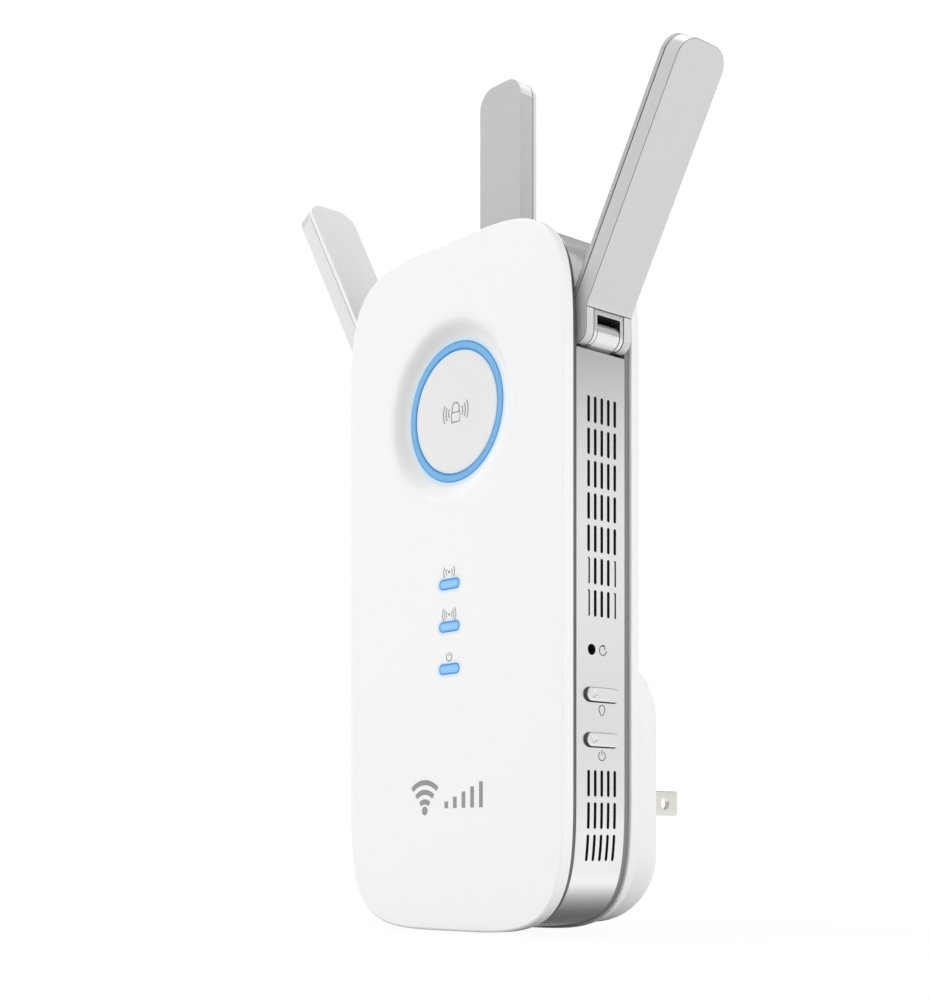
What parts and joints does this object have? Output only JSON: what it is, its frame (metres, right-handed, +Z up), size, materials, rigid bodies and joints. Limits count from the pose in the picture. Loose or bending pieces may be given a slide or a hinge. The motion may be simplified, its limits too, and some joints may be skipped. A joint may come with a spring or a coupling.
{
  "type": "wifi range extender",
  "caption": "Plug-in wifi range extender: rounded white casing with a metallised side band, light ring button, side controls, network socket, wall plug and hinged paddle antennas.",
  "frame": {"origin": "centre of the wall-contact face, midway between the two mains blades", "axes": "+X to the object's right side seen from the front; the front cover faces -Y and the blades point along +Y into the wall; +Z up"},
  "size_m": [0.1368, 0.0725, 0.2044],
  "materials": {
    "cover_white": "smooth white ABS, satin-gloss",
    "rear_white": "fine-textured white ABS",
    "trim_dark": "dark grey glossy moulding in the seam",
    "trim_grey": "grey glossy moulding in the seam",
    "band_silver": "metallised plastic, satin silver",
    "button_white": "smooth white ABS",
    "button_silver": "metallised plastic, satin silver",
    "glow_blue": "translucent blue light guide",
    "antenna_grey": "light grey satin plastic",
    "hinge_silver": "grey satin plastic hinge",
    "blade_nickel": "nickel-plated brass blade",
    "steel": "zinc-plated steel",
    "plug_white": "white insulating plastic",
    "black_plastic": "black moulded plastic",
    "pcb_green": "glass-epoxy board with green solder mask",
    "shield_tin": "tin-plated sheet",
    "sink_alu": "extruded aluminium",
    "pad_blue": "silicone gap pad",
    "led_white": "light-emitting diode package",
    "gold": "gold-plated contact",
    "copper": "enamelled copper winding",
    "tape_yellow": "transformer tape",
    "cap_blue": "capacitor sleeve",
    "fuse_beige": "ceramic fuse body",
    "wire_red": "insulated lead",
    "sheet": "insulating fibre sheet"
  },
  "bodies": {
    "root": {"front_cover": "cover_white", "case_pillars": "cover_white", "front_trim": "trim_dark", "side_band": "band_silver", "rear_trim": "trim_grey", "rear_cover": "rear_white", "plug_base": "plug_white", "plug_blade_left": "blade_nickel", "plug_blade_right": "blade_nickel", "case_screws": "steel", "led_ring": "glow_blue", "indicator_lens_upper": "glow_blue", "indicator_lens_middle": "glow_blue", "indicator_lens_lower": "glow_blue", "light_baffle": "black_plastic", "side_switches": "black_plastic", "signal_switch": "steel", "main_board": "pcb_green", "cpu_shield": "shield_tin", "radio_shield": "shield_tin", "thermal_pad": "pad_blue", "heat_sink": "sink_alu", "board_chips": "black_plastic", "indicator_leds": "led_white", "ring_leds": "led_white", "ethernet_jack": "black_plastic", "ethernet_contacts": "gold", "coax_sockets": "gold", "board_screws": "steel", "power_board": "pcb_green", "power_transformer": "tape_yellow", "power_capacitors": "cap_blue", "line_choke": "copper", "fuse": "fuse_beige", "dc_wires": "wire_red", "insulating_sheet": "sheet", "blade_contacts": "gold", "left_knuckle": "hinge_silver", "right_knuckle": "hinge_silver", "top_knuckle": "hinge_silver", "coax_cables": "black_plastic"},
    "antenna_left": {"left_antenna_outer": "antenna_grey", "left_antenna_inner": "antenna_grey", "left_antenna_yoke": "antenna_grey", "left_radiator": "pcb_green", "left_hinge_pin": "steel"},
    "antenna_right": {"right_antenna_outer": "antenna_grey", "right_antenna_inner": "antenna_grey", "right_antenna_yoke": "antenna_grey", "right_radiator": "pcb_green", "right_hinge_pin": "steel"},
    "antenna_top": {"top_antenna_outer": "antenna_grey", "top_antenna_inner": "antenna_grey", "top_antenna_yoke": "antenna_grey", "top_radiator": "pcb_green", "top_hinge_pin": "steel"},
    "signal_key": {"signal_button": "button_white"},
    "led_key": {"led_button": "button_silver"},
    "power_key": {"power_button": "button_silver"},
    "reset_key": {"reset_plunger": "black_plastic"}
  },
  "joints": [
    {"name": "antenna_right_tilt", "type": "hinge", "parent": "root", "child": "antenna_right", "pos_m": [0.03705, -0.0423, 0.1028], "axis": [0, 1, 0], "range_deg": [0, 90]},
    {"name": "antenna_left_tilt", "type": "hinge", "parent": "root", "child": "antenna_left", "pos_m": [-0.03705, -0.0423, 0.1028], "axis": [0, -1, 0], "range_deg": [0, 90]},
    {"name": "antenna_top_tilt", "type": "hinge", "parent": "root", "child": "antenna_top", "pos_m": [0, -0.03605, 0.1108], "axis": [-1, 0, 0], "range_deg": [0, 90]},
    {"name": "signal_press", "type": "slide", "parent": "root", "child": "signal_key", "axis": [0, 1, 0], "range_m": [0, 0.0005], "stiffness_N_per_m": 1500, "springref_m": -0.0003},
    {"name": "led_press", "type": "slide", "parent": "root", "child": "led_key", "axis": [-1, 0, 0], "range_m": [0, 0.0005], "stiffness_N_per_m": 1500, "springref_m": -0.0003},
    {"name": "power_press", "type": "slide", "parent": "root", "child": "power_key", "axis": [-1, 0, 0], "range_m": [0, 0.0005], "stiffness_N_per_m": 1500, "springref_m": -0.0003},
    {"name": "reset_press", "type": "slide", "parent": "root", "child": "reset_key", "axis": [-1, 0, 0], "range_m": [0, 0.0003], "stiffness_N_per_m": 1500, "springref_m": -0.0003}
  ]
}
